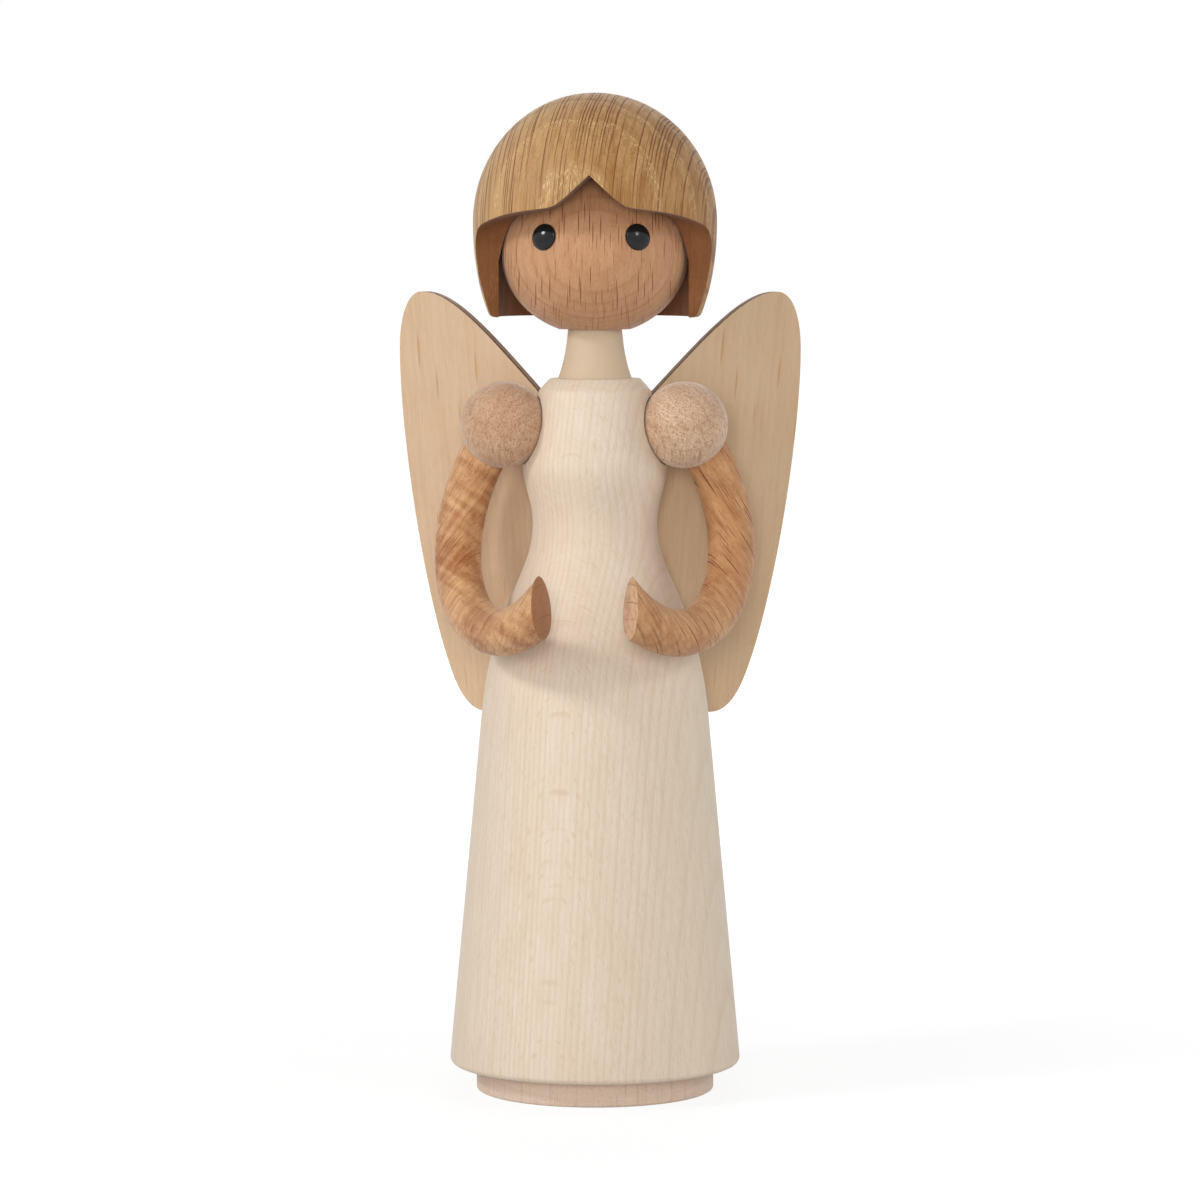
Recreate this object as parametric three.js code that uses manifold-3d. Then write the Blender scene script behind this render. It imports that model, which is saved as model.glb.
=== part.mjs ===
// Turned wooden angel figurine: millimetres, +Z up, facing -Y, standing on Z = 0 at its axis.
// Left and right are the figure's own sides, so its left side is +X.
import * as THREE from 'three';
import { mergeVertices } from 'three/addons/utils/BufferGeometryUtils.js';
import Module from 'manifold-3d';

const wasm = await Module();
wasm.setup();

// Clearances
const GLUE_GAP = 0.3;
const TURN_GAP = 0.3;
const CUT_OVER = 1;

// Foot disc with its spigot
const FOOT_RADIUS = 23.9;
const FOOT_HEIGHT = 5;
const FOOT_EDGE = 0.5;
const SPIGOT_RADIUS = 9;
const SPIGOT_HEIGHT = 8;

// Dress, from the hem up
const HEM_RADIUS = 29.2;
const HEM_ROUND = 1.3;
const SKIRT_HEIGHT = 70.5;
const SKIRT_TOP_RADIUS = 22.8;
const HIP_HEIGHT = 38.5;
const HIP_FULLNESS = 23;
const WAIST_RADIUS = 12.5;
const WAIST_HOLLOW = 11;
const BUST_HEIGHT = 12.4;
const BUST_RADIUS = 14.4;
const CHEST_HEIGHT = 14.2;
const CHEST_TOP_RADIUS = 11.2;
const LEDGE_CHAMFER = 2.4;
const LEDGE_RADIUS = 9;
const BUST_RISE = 0.38;
const BUST_ROUND = 0.25;

// Neck
const NECK_HEIGHT = 9.2;
const NECK_BASE_RADIUS = 7.4;
const NECK_TOP_RADIUS = 5.4;
const NECK_HOLLOW_RADIUS = 5.9;
const NECK_HOLLOW_RISE = 3.5;
const NECK_TENON_RADIUS = 4;
const NECK_TENON_LENGTH = 9;
const NECK_DOWEL_RADIUS = 2;
const NECK_DOWEL_IN_NECK = 10;
const NECK_DOWEL_IN_HEAD = 12;

// Head: a ball with a flat under the chin
const HEAD_RADIUS = 18.6;
const HEAD_BASE_RADIUS = 7.2;
const HEAD_BASE_DROP = 14.7;

// Bead eyes
const EYE_RADIUS = 2.6;
const EYE_DOME = 1.25;
const EYE_RECESS = 0.9;
const EYE_STEM_RADIUS = 1.2;
const EYE_STEM_LENGTH = 4;
const EYE_SPREAD = 30.5;
const EYE_LIFT = 11.5;

// Hair cap, heights from the middle of the head
const HAIR_CROWN = 32.3;
const HAIR_WIDEST = 6.6;
const HAIR_HEM_DROP = 12.3;
const HAIR_BORE_GAP = 1.1;
const HAIR_WALL = 4.65;
const HAIR_HEM_WALL = 0.8;
const HAIR_BELLY = 9;
const HAIR_SEAT_ANGLE = 14;
const LOCK_FRONT = 5.5;
const FRINGE_PEAK = 15.8;
const FRINGE_EDGE = 9.2;
const FRINGE_SLOPE = 0.97;
const FRINGE_FALL = 0.005;
const FRINGE_BLEND = 0.8;
const FRINGE_DRAFT = 0.045;
const FRINGE_FILLET = 5;

// Shoulder balls on their pegs
const BALL_RADIUS = 8.65;
const BALL_SEAT_DEPTH = 3;
const SHOULDER_RISE = 19.8;
const SHOULDER_FORWARD = 10.6;
const PEG_RADIUS = 2;
const PEG_IN_BALL = 5.4;
const PEG_IN_DRESS = 6;

// Arms: rods bent as part of a ring that runs through the middle of the ball
const ARM_RING_RADIUS = 23.6;
const ARM_ROD_RADIUS = 4.65;
const ARM_SOCKET_DEPTH = 2.8;
const ARM_RING_TURN = -113.5;
const ARM_RING_TILT = 15;
const ARM_BALL_ANGLE = -139;
const ARM_PALM_ANGLE = 39.6;
const PALM_TURN = 19;
const PALM_TRIM = 10;
const ARM_DOWEL_RADIUS = 1.4;
const ARM_DOWEL_IN_BALL = 3;
const ARM_DOWEL_IN_ARM = 5;

// Wings: flat blades, reach measured along the blade and heights from the waist
const WING_THICKNESS = 2.5;
const WING_SWEEP = 23;
const WING_ROOT_BACK = 3;
const WING_APEX_REACH = 38.8;
const WING_APEX_RISE = 46;
const WING_REACH = 43.9;
const WING_REACH_RISE = 34.2;
const WING_LOW_REACH = 32.8;
const WING_LOW_DROP = 29.3;
const WING_TIP_REACH = 24.4;
const WING_TIP_DROP = 39.1;
const WING_ROOT_RISE = 23.2;
const WING_ROOT_DIP = 1.5;
const WING_TOP_BOW = new THREE.Vector2(0.58, 0.57);
const WING_TOP_FLAT = 0.81;
const WING_APEX_ROUND = new THREE.Vector2(0.62, 0.4);
const WING_SIDE_FULL = 0.26;
const WING_SIDE_TAPER = new THREE.Vector2(0.53, 0.244);
const WING_TIP_ROUND = new THREE.Vector2(0.28, 0.68);
const WING_TIP_FLAT = 0.4;
const WING_INNER_ROUND = 0.8;
const WING_INNER_REACH = 0.72;
const TONGUE_INNER = 8;
const TONGUE_RISE = 21;
const TONGUE_DROP = 9;

// Facets round a full turn
const BODY_SIDES = 48;
const BALL_SIDES = 22;
const BALL_RINGS = 14;
const ROD_SIDES = 20;
const PIN_SIDES = 12;
const ARM_STEPS = 20;
const WING_STEPS = 9;

// Heights of the stack
const hemZ = FOOT_HEIGHT + GLUE_GAP;
const skirtTopZ = hemZ + SKIRT_HEIGHT;
const waistZ = skirtTopZ + HIP_HEIGHT;
const bustZ = waistZ + BUST_HEIGHT;
const chestTopZ = bustZ + CHEST_HEIGHT;
const ledgeZ = chestTopZ + LEDGE_CHAMFER;
const neckTopZ = ledgeZ + GLUE_GAP + NECK_HEIGHT;
const chinZ = neckTopZ + TURN_GAP;
const headZ = chinZ + HEAD_BASE_DROP;
const shoulderZ = waistZ + SHOULDER_RISE;

const radians = THREE.MathUtils.degToRad;

// Solids and meshes
function solidOf(geometry, matrix = new THREE.Matrix4()) {
  const bare = geometry.clone().applyMatrix4(matrix);
  bare.deleteAttribute('normal');
  bare.deleteAttribute('uv');
  const merged = mergeVertices(bare, 1e-4);
  const triVerts = Uint32Array.from(merged.index.array);
  if (matrix.determinant() < 0) {
    for (let i = 0; i < triVerts.length; i += 3) {
      [triVerts[i], triVerts[i + 1]] = [triVerts[i + 1], triVerts[i]];
    }
  }
  const vertProperties = Float32Array.from(merged.attributes.position.array);
  return new wasm.Manifold(new wasm.Mesh({ numProp: 3, vertProperties, triVerts }));
}

function geometryOf(solid) {
  const { vertProperties, triVerts } = solid.getMesh();
  const geometry = new THREE.BufferGeometry();
  geometry.setAttribute('position', new THREE.BufferAttribute(Float32Array.from(vertProperties), 3));
  geometry.setIndex(new THREE.BufferAttribute(Uint32Array.from(triVerts), 1));
  geometry.computeVertexNormals();
  return geometry;
}

function piece(name, geometry, finish) {
  const mesh = new THREE.Mesh(geometry, new THREE.MeshStandardMaterial(finish));
  mesh.name = name;
  return mesh;
}

function at(x, y, z, turn = new THREE.Euler()) {
  const unit = new THREE.Vector3(1, 1, 1);
  return new THREE.Matrix4().compose(
    new THREE.Vector3(x, y, z),
    new THREE.Quaternion().setFromEuler(turn),
    unit,
  );
}

const mirrorX = new THREE.Matrix4().makeScale(-1, 1, 1);

function bothSides(matrix) {
  return [matrix, mirrorX.clone().multiply(matrix)];
}

// A profile of [radius, height] points turned about +Z
function turned(profile, sides) {
  const lathe = new THREE.LatheGeometry(profile.map(([r, z]) => new THREE.Vector2(r, z)), sides);
  return lathe.rotateX(Math.PI / 2);
}

// A pin along +Z from one height to another
function pin(radius, from, to, sides = PIN_SIDES) {
  const cylinder = new THREE.CylinderGeometry(radius, radius, to - from, sides);
  return cylinder.rotateX(Math.PI / 2).translate(0, 0, (from + to) / 2);
}

function points2(curve, steps) {
  return curve.getPoints(steps).map((p) => [p.x, p.y]);
}

// Finishes
const MAPLE = { color: 0xe8d6be, roughness: 0.62, metalness: 0 };
const MAPLE_WARM = { color: 0xdec8aa, roughness: 0.62, metalness: 0 };
const FOOT_BEECH = { color: 0xd8b999, roughness: 0.64, metalness: 0 };
const BEECH = { color: 0xc89673, roughness: 0.55, metalness: 0 };
const BALL_BEECH = { color: 0xcda582, roughness: 0.58, metalness: 0 };
const ARM_BEECH = { color: 0xc38755, roughness: 0.5, metalness: 0 };
const OAK = { color: 0xbe915a, roughness: 0.52, metalness: 0 };
const WING_ALDER = { color: 0xdcbf98, roughness: 0.6, metalness: 0 };
const DOWEL_BIRCH = { color: 0xdfc59f, roughness: 0.65, metalness: 0 };
const BLACK_BEAD = { color: 0x0b0b0c, roughness: 0.12, metalness: 0 };

// Foot
function footDisc() {
  return turned([
    [0, 0],
    [FOOT_RADIUS - FOOT_EDGE, 0],
    [FOOT_RADIUS, FOOT_EDGE],
    [FOOT_RADIUS, FOOT_HEIGHT - FOOT_EDGE],
    [FOOT_RADIUS - FOOT_EDGE, FOOT_HEIGHT],
    [SPIGOT_RADIUS, FOOT_HEIGHT],
    [SPIGOT_RADIUS, FOOT_HEIGHT + SPIGOT_HEIGHT],
    [0, FOOT_HEIGHT + SPIGOT_HEIGHT],
  ], BODY_SIDES);
}

// Dress outline from the hem to the ledge, grown by a margin where it is used as a cutter
function dressProfile(margin = 0) {
  const skirtLean = (HEM_RADIUS - SKIRT_TOP_RADIUS) / (SKIRT_HEIGHT - HEM_ROUND);
  const chestLean = (BUST_RADIUS - CHEST_TOP_RADIUS) / CHEST_HEIGHT;
  const bustReach = BUST_HEIGHT * BUST_ROUND;
  const hem = new THREE.EllipseCurve(
    HEM_RADIUS - HEM_ROUND, hemZ + HEM_ROUND, HEM_ROUND, HEM_ROUND, -Math.PI / 2, 0,
  );
  const hip = new THREE.CubicBezierCurve(
    new THREE.Vector2(SKIRT_TOP_RADIUS, skirtTopZ),
    new THREE.Vector2(SKIRT_TOP_RADIUS - skirtLean * HIP_FULLNESS, skirtTopZ + HIP_FULLNESS),
    new THREE.Vector2(WAIST_RADIUS, waistZ - WAIST_HOLLOW),
    new THREE.Vector2(WAIST_RADIUS, waistZ),
  );
  const bust = new THREE.CubicBezierCurve(
    new THREE.Vector2(WAIST_RADIUS, waistZ),
    new THREE.Vector2(WAIST_RADIUS, waistZ + BUST_HEIGHT * BUST_RISE),
    new THREE.Vector2(BUST_RADIUS + chestLean * bustReach, bustZ - bustReach),
    new THREE.Vector2(BUST_RADIUS, bustZ),
  );
  const outline = [
    ...points2(hem, 3),
    ...points2(hip, 10),
    ...points2(bust, 6).slice(1),
    [CHEST_TOP_RADIUS, chestTopZ],
    [LEDGE_RADIUS, ledgeZ],
  ].map(([r, z]) => [r + margin, z]);
  return [[0, hemZ - margin], ...outline, [0, ledgeZ + margin]];
}

// Shoulder frame: +X runs out of the body along the peg, through the middle of the ball
const shoulderChestRadius = THREE.MathUtils.mapLinear(
  shoulderZ, bustZ, chestTopZ, BUST_RADIUS, CHEST_TOP_RADIUS,
);
const shoulderReach = shoulderChestRadius + BALL_RADIUS - BALL_SEAT_DEPTH;
const shoulderTurn = -radians(SHOULDER_FORWARD);
const shoulderPlace = at(
  shoulderReach * Math.cos(shoulderTurn),
  shoulderReach * Math.sin(shoulderTurn),
  shoulderZ,
  new THREE.Euler(0, 0, shoulderTurn),
);
const alongPeg = at(0, 0, 0, new THREE.Euler(0, Math.PI / 2, 0));
const pegOuter = PEG_IN_BALL - BALL_RADIUS;
const pegInner = BALL_SEAT_DEPTH - BALL_RADIUS - PEG_IN_DRESS;

// Ring frame in the shoulder: the ring stands in its XZ plane, angles run forward from its foot
const ringPlace = at(0, 0, 0, new THREE.Euler(radians(ARM_RING_TILT), 0, radians(ARM_RING_TURN), 'ZXY'));

function ringPoint(angle, radius = ARM_RING_RADIUS) {
  const ballAngle = radians(ARM_BALL_ANGLE);
  const centreX = -ARM_RING_RADIUS * Math.sin(ballAngle);
  const centreZ = ARM_RING_RADIUS * Math.cos(ballAngle);
  return new THREE.Vector3(centreX + radius * Math.sin(angle), 0, centreZ - radius * Math.cos(angle));
}

class RingArc extends THREE.Curve {
  constructor(from, to) {
    super();
    this.from = from;
    this.to = to;
  }

  getPoint(t, target = new THREE.Vector3()) {
    return target.copy(ringPoint(THREE.MathUtils.lerp(this.from, this.to, t)));
  }
}

// The rod starts at the bottom of its socket, a chord away from the middle of the ball
const socketFloor = BALL_RADIUS - ARM_SOCKET_DEPTH;
const armStart = radians(ARM_BALL_ANGLE)
  + 2 * Math.asin((socketFloor + GLUE_GAP) / 2 / ARM_RING_RADIUS);
const armStartPoint = ringPoint(armStart);
const alongRod = at(
  armStartPoint.x, armStartPoint.y, armStartPoint.z,
  new THREE.Euler(0, Math.PI / 2 - armStart, 0),
);

function armSolid() {
  const rod = new THREE.Shape().absarc(0, 0, ARM_ROD_RADIUS, 0, 2 * Math.PI);
  const palmAngle = radians(ARM_PALM_ANGLE);
  const overrun = PALM_TRIM / ARM_RING_RADIUS;
  const bent = new THREE.ExtrudeGeometry(rod, {
    steps: ARM_STEPS,
    curveSegments: ROD_SIDES / 2,
    extrudePath: new RingArc(armStart, palmAngle + overrun),
  });
  const palmPoint = ringPoint(palmAngle);
  const size = 4 * ARM_RING_RADIUS;
  const palmBlock = new THREE.BoxGeometry(size, size, size).translate(-size / 2, 0, 0);
  const ringInBody = shoulderPlace.clone().multiply(ringPlace);
  const palmInBody = palmPoint.clone().applyMatrix4(ringInBody);
  const palmPlace = at(palmInBody.x, palmInBody.y, palmInBody.z, new THREE.Euler(0, 0, radians(PALM_TURN)));
  const dowelBore = pin(ARM_DOWEL_RADIUS + GLUE_GAP, -GLUE_GAP, ARM_DOWEL_IN_ARM + GLUE_GAP);
  return solidOf(bent)
    .subtract(solidOf(palmBlock, ringInBody.clone().invert().multiply(palmPlace)))
    .subtract(solidOf(dowelBore, alongRod));
}

function armDowel() {
  return pin(ARM_DOWEL_RADIUS, -ARM_DOWEL_IN_BALL, ARM_DOWEL_IN_ARM).applyMatrix4(alongRod);
}

function shoulderBall() {
  const ball = new THREE.SphereGeometry(BALL_RADIUS, BALL_SIDES, BALL_RINGS);
  const pegBore = pin(PEG_RADIUS + TURN_GAP, -2 * BALL_RADIUS, pegOuter + TURN_GAP);
  const socket = pin(ARM_ROD_RADIUS + GLUE_GAP, -GLUE_GAP, BALL_RADIUS, ROD_SIDES);
  const dowelBore = pin(ARM_DOWEL_RADIUS + GLUE_GAP, -ARM_DOWEL_IN_BALL - GLUE_GAP, BALL_RADIUS);
  const rodPlace = ringPlace.clone().multiply(alongRod);
  return solidOf(ball)
    .subtract(solidOf(pegBore, alongPeg))
    .subtract(solidOf(socket, rodPlace))
    .subtract(solidOf(dowelBore, rodPlace));
}

function shoulderPeg() {
  return pin(PEG_RADIUS, pegInner, pegOuter).applyMatrix4(alongPeg);
}

// Wing frame: X runs out along the blade, Y through its thickness, Z up from the waist
const wingPlace = at(0, WING_ROOT_BACK, waistZ, new THREE.Euler(0, 0, radians(WING_SWEEP)));

function wingOutline() {
  const outline = new THREE.Shape();
  const apexWidth = WING_REACH - WING_APEX_REACH;
  const apexDrop = WING_APEX_RISE - WING_REACH_RISE;
  const sideDrop = WING_REACH_RISE + WING_LOW_DROP;
  const taper = WING_REACH - WING_LOW_REACH;
  const tipWidth = WING_LOW_REACH - WING_TIP_REACH;
  const tipDrop = WING_TIP_DROP - WING_LOW_DROP;
  const topBowRise = THREE.MathUtils.lerp(WING_ROOT_RISE, WING_APEX_RISE, WING_TOP_BOW.y);
  outline.moveTo(TONGUE_INNER, WING_ROOT_RISE - WING_ROOT_DIP);
  outline.bezierCurveTo(
    WING_APEX_REACH * WING_TOP_BOW.x, topBowRise,
    WING_APEX_REACH * WING_TOP_FLAT, WING_APEX_RISE,
    WING_APEX_REACH, WING_APEX_RISE,
  );
  outline.bezierCurveTo(
    WING_APEX_REACH + apexWidth * WING_APEX_ROUND.x, WING_APEX_RISE,
    WING_REACH, WING_APEX_RISE - apexDrop * WING_APEX_ROUND.y,
    WING_REACH, WING_REACH_RISE,
  );
  outline.bezierCurveTo(
    WING_REACH, WING_REACH_RISE - sideDrop * WING_SIDE_FULL,
    WING_LOW_REACH + taper * WING_SIDE_TAPER.x, -WING_LOW_DROP + sideDrop * WING_SIDE_TAPER.y,
    WING_LOW_REACH, -WING_LOW_DROP,
  );
  outline.bezierCurveTo(
    WING_LOW_REACH - tipWidth * WING_TIP_ROUND.x, -WING_LOW_DROP - tipDrop * WING_TIP_ROUND.y,
    WING_TIP_REACH + tipWidth * WING_TIP_FLAT, -WING_TIP_DROP,
    WING_TIP_REACH, -WING_TIP_DROP,
  );
  outline.quadraticCurveTo(
    WING_TIP_REACH * WING_INNER_ROUND, -WING_TIP_DROP,
    WING_TIP_REACH * WING_INNER_REACH, -WING_LOW_DROP,
  );
  outline.lineTo(TONGUE_INNER, -TONGUE_DROP);
  return outline;
}

// The tongue's block in the wing frame, from its inner edge to well outside the dress
function tongueBlock(margin) {
  const inner = TONGUE_INNER - margin;
  const outer = SKIRT_TOP_RADIUS;
  const low = -TONGUE_DROP - margin;
  const high = TONGUE_RISE + margin;
  return new THREE.BoxGeometry(outer - inner, WING_THICKNESS + 2 * margin, high - low)
    .translate((outer + inner) / 2, 0, (high + low) / 2);
}

function wingSolid() {
  const blade = new THREE.ExtrudeGeometry(wingOutline(), {
    depth: WING_THICKNESS, bevelEnabled: false, curveSegments: WING_STEPS,
  }).rotateX(Math.PI / 2).translate(0, WING_THICKNESS / 2, 0);
  const bodyToWing = wingPlace.clone().invert();
  const dressRoom = solidOf(turned(dressProfile(GLUE_GAP), BODY_SIDES), bodyToWing);
  const tongueRoom = solidOf(tongueBlock(0));
  return solidOf(blade).subtract(dressRoom.subtract(tongueRoom));
}

function dressSolid() {
  let dress = solidOf(turned(dressProfile(), BODY_SIDES));
  const spigotBore = pin(SPIGOT_RADIUS + GLUE_GAP, 0, FOOT_HEIGHT + SPIGOT_HEIGHT + GLUE_GAP, BODY_SIDES);
  const tenonFloor = ledgeZ - NECK_TENON_LENGTH;
  const tenonBore = pin(NECK_TENON_RADIUS + GLUE_GAP, tenonFloor - GLUE_GAP, ledgeZ + CUT_OVER, BALL_SIDES);
  dress = dress.subtract(solidOf(spigotBore)).subtract(solidOf(tenonBore));
  const seat = new THREE.SphereGeometry(BALL_RADIUS + TURN_GAP, BALL_SIDES, BALL_RINGS);
  const pegBore = pin(PEG_RADIUS + GLUE_GAP, pegInner - GLUE_GAP, 0);
  for (const place of bothSides(shoulderPlace)) {
    dress = dress.subtract(solidOf(seat, place));
    dress = dress.subtract(solidOf(pegBore, place.clone().multiply(alongPeg)));
  }
  for (const place of bothSides(wingPlace)) {
    dress = dress.subtract(solidOf(tongueBlock(GLUE_GAP), place));
  }
  return dress;
}

// Neck: a flared turning with a tenon below and a blind bore for the head's dowel
function neckSolid() {
  const baseZ = ledgeZ + GLUE_GAP;
  const flare = new THREE.QuadraticBezierCurve(
    new THREE.Vector2(NECK_BASE_RADIUS, baseZ),
    new THREE.Vector2(NECK_HOLLOW_RADIUS, baseZ + NECK_HOLLOW_RISE),
    new THREE.Vector2(NECK_TOP_RADIUS, neckTopZ),
  );
  const body = turned([
    [0, ledgeZ - NECK_TENON_LENGTH],
    [NECK_TENON_RADIUS, ledgeZ - NECK_TENON_LENGTH],
    [NECK_TENON_RADIUS, baseZ],
    ...points2(flare, 6),
    [0, neckTopZ],
  ], BALL_SIDES);
  const boreFloor = neckTopZ - NECK_DOWEL_IN_NECK - GLUE_GAP;
  const bore = pin(NECK_DOWEL_RADIUS + GLUE_GAP, boreFloor, neckTopZ + CUT_OVER);
  return solidOf(body).subtract(solidOf(bore));
}

function neckDowel() {
  return pin(NECK_DOWEL_RADIUS, neckTopZ - NECK_DOWEL_IN_NECK, chinZ + NECK_DOWEL_IN_HEAD);
}

// Head outline below its middle is drawn out to the flat under the chin
const chinDepth = HEAD_BASE_DROP / Math.sqrt(1 - (HEAD_BASE_RADIUS / HEAD_RADIUS) ** 2);

function headCurve(margin, depth, from, to) {
  return new THREE.EllipseCurve(0, headZ, HEAD_RADIUS + margin, depth + margin, from, to);
}

function headSolid() {
  const chinAngle = -Math.asin(HEAD_BASE_DROP / chinDepth);
  const body = turned([
    [0, chinZ],
    ...points2(headCurve(0, chinDepth, chinAngle, 0), 7),
    ...points2(headCurve(0, HEAD_RADIUS, 0, Math.PI / 2), 8).slice(1, -1),
    [0, headZ + HEAD_RADIUS],
  ], BODY_SIDES);
  const bore = pin(NECK_DOWEL_RADIUS + TURN_GAP, chinZ - CUT_OVER, chinZ + NECK_DOWEL_IN_HEAD + TURN_GAP);
  let head = solidOf(body).subtract(solidOf(bore));
  const recess = pin(EYE_RADIUS + GLUE_GAP, -EYE_RECESS, EYE_RADIUS, ROD_SIDES);
  const stemBore = pin(EYE_STEM_RADIUS + GLUE_GAP, -EYE_RECESS - EYE_STEM_LENGTH - GLUE_GAP, 0);
  for (const place of bothSides(eyePlace)) {
    head = head.subtract(solidOf(recess, place)).subtract(solidOf(stemBore, place));
  }
  return head;
}

// Eye frame: +Z points out of the face at the eye
const eyePlace = new THREE.Matrix4()
  .multiply(at(0, 0, headZ, new THREE.Euler(0, 0, radians(EYE_SPREAD))))
  .multiply(at(0, 0, 0, new THREE.Euler(Math.PI / 2 - radians(EYE_LIFT), 0, 0)))
  .multiply(at(0, 0, HEAD_RADIUS));

function eyeBead() {
  const seat = GLUE_GAP - EYE_RECESS;
  const dome = new THREE.EllipseCurve(0, 0, EYE_RADIUS, EYE_DOME, 0, Math.PI / 2);
  return turned([
    [0, seat - EYE_STEM_LENGTH],
    [EYE_STEM_RADIUS, seat - EYE_STEM_LENGTH],
    [EYE_STEM_RADIUS, seat],
    [EYE_RADIUS, seat],
    ...points2(dome, 5).slice(0, -1),
    [0, EYE_DOME],
  ], ROD_SIDES);
}

// Hair cap: a dome bored out over the head, then cut away before the face
function fringeHeight(x) {
  const edge = FRINGE_EDGE - FRINGE_FALL * x * x;
  const peak = FRINGE_PEAK - FRINGE_SLOPE * Math.abs(x);
  return (edge + peak + Math.hypot(edge - peak, FRINGE_BLEND)) / 2;
}

function faceWindow(outerRadius) {
  const half = outerRadius + CUT_OVER;
  const depth = half - LOCK_FRONT;
  const low = -2 * HAIR_HEM_DROP;
  const block = new THREE.BoxGeometry(2 * half, depth, 1, 32, 7, 1);
  const position = block.attributes.position;
  for (let i = 0; i < position.count; i += 1) {
    const x = position.getX(i);
    const back = position.getY(i) + depth / 2;
    const intoFillet = THREE.MathUtils.clamp(back - depth + FRINGE_FILLET, 0, FRINGE_FILLET);
    const fillet = FRINGE_FILLET - Math.sqrt(FRINGE_FILLET ** 2 - intoFillet ** 2);
    const top = fringeHeight(x) - FRINGE_DRAFT * back - fillet;
    position.setXYZ(i, x, back - half, headZ + (position.getZ(i) > 0 ? top : low));
  }
  return block;
}

function hairSolid() {
  const hairHemZ = headZ - HAIR_HEM_DROP;
  const widestZ = headZ + HAIR_WIDEST;
  const bore = HEAD_RADIUS + HAIR_BORE_GAP;
  const radius = bore + HAIR_WALL;
  const belly = new THREE.QuadraticBezierCurve(
    new THREE.Vector2(bore + HAIR_HEM_WALL, hairHemZ),
    new THREE.Vector2(radius, hairHemZ + HAIR_BELLY),
    new THREE.Vector2(radius, widestZ),
  );
  const crown = new THREE.EllipseCurve(0, widestZ, radius, HAIR_CROWN - HAIR_WIDEST, 0, Math.PI / 2);
  const dome = turned([
    [0, hairHemZ],
    ...points2(belly, 5),
    ...points2(crown, 9).slice(1, -1),
    [0, headZ + HAIR_CROWN],
  ], BODY_SIDES);
  const cavity = turned([
    [0, hairHemZ - CUT_OVER],
    [bore, hairHemZ - CUT_OVER],
    [bore, headZ - HAIR_BORE_GAP],
    ...points2(headCurve(GLUE_GAP, HEAD_RADIUS, radians(HAIR_SEAT_ANGLE), Math.PI / 2), 7).slice(0, -1),
    [0, headZ + HEAD_RADIUS + GLUE_GAP],
  ], BODY_SIDES);
  return solidOf(dome).subtract(solidOf(cavity)).subtract(solidOf(faceWindow(radius)));
}

// Assembly
const angel = new THREE.Group();
angel.add(
  piece('foot_disc', footDisc(), FOOT_BEECH),
  piece('dress', geometryOf(dressSolid()), MAPLE),
  piece('neck', geometryOf(neckSolid()), MAPLE_WARM),
  piece('neck_dowel', neckDowel(), DOWEL_BIRCH),
  piece('head', geometryOf(headSolid()), BEECH),
  piece('hair_cap', geometryOf(hairSolid()), OAK),
);

const eye = eyeBead();
const ball = geometryOf(shoulderBall());
const peg = shoulderPeg();
const arm = geometryOf(armSolid());
const dowel = armDowel();
const wing = geometryOf(wingSolid());

for (const side of ['left', 'right']) {
  const half = new THREE.Group();
  half.scale.x = side === 'left' ? 1 : -1;
  angel.add(half);

  const eyeMesh = piece(`${side}_eye`, eye, BLACK_BEAD);
  eyeMesh.applyMatrix4(eyePlace);
  half.add(eyeMesh);

  const shoulder = new THREE.Group();
  shoulder.applyMatrix4(shoulderPlace);
  shoulder.add(piece(`${side}_shoulder_peg`, peg, DOWEL_BIRCH));
  shoulder.add(piece(`${side}_shoulder_ball`, ball, BALL_BEECH));
  half.add(shoulder);

  const ring = new THREE.Group();
  ring.applyMatrix4(ringPlace);
  ring.add(piece(`${side}_arm`, arm, ARM_BEECH));
  ring.add(piece(`${side}_arm_dowel`, dowel, DOWEL_BIRCH));
  shoulder.add(ring);

  const wingMesh = piece(`${side}_wing`, wing, WING_ALDER);
  wingMesh.applyMatrix4(wingPlace);
  half.add(wingMesh);
}

export default angel;
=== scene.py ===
"""Turned wooden angel figurine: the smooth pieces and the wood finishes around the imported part."""
import math

import bpy
from bpy.props import FloatProperty, FloatVectorProperty, IntProperty, PointerProperty
from mathutils import Euler, Matrix, Vector


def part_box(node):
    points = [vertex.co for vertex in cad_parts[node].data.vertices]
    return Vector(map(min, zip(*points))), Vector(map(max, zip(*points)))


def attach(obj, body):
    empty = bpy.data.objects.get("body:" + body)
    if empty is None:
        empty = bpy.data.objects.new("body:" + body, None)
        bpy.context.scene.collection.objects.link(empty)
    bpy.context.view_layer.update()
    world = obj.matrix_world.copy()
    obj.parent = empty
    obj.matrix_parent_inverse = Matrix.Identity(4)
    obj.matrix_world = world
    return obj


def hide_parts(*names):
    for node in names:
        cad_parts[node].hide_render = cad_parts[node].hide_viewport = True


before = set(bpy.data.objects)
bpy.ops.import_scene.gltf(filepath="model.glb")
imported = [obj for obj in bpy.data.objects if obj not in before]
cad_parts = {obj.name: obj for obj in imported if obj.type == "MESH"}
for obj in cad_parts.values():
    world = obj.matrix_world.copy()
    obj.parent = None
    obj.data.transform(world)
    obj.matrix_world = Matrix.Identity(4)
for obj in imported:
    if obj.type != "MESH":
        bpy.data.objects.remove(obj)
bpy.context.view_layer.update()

bl_info = {
    "name": "Wooden Angel Figurine",
    "version": (1, 0, 0),
    "blender": (4, 5, 0),
    "location": "View3D > Sidebar > Angel",
    "description": "Builds a turned wooden angel around its packed solids",
    "category": "Add Mesh",
}

MM = 0.001
QUARTER = math.pi / 2
SIGNS = {"left": 1, "right": -1}

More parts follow.
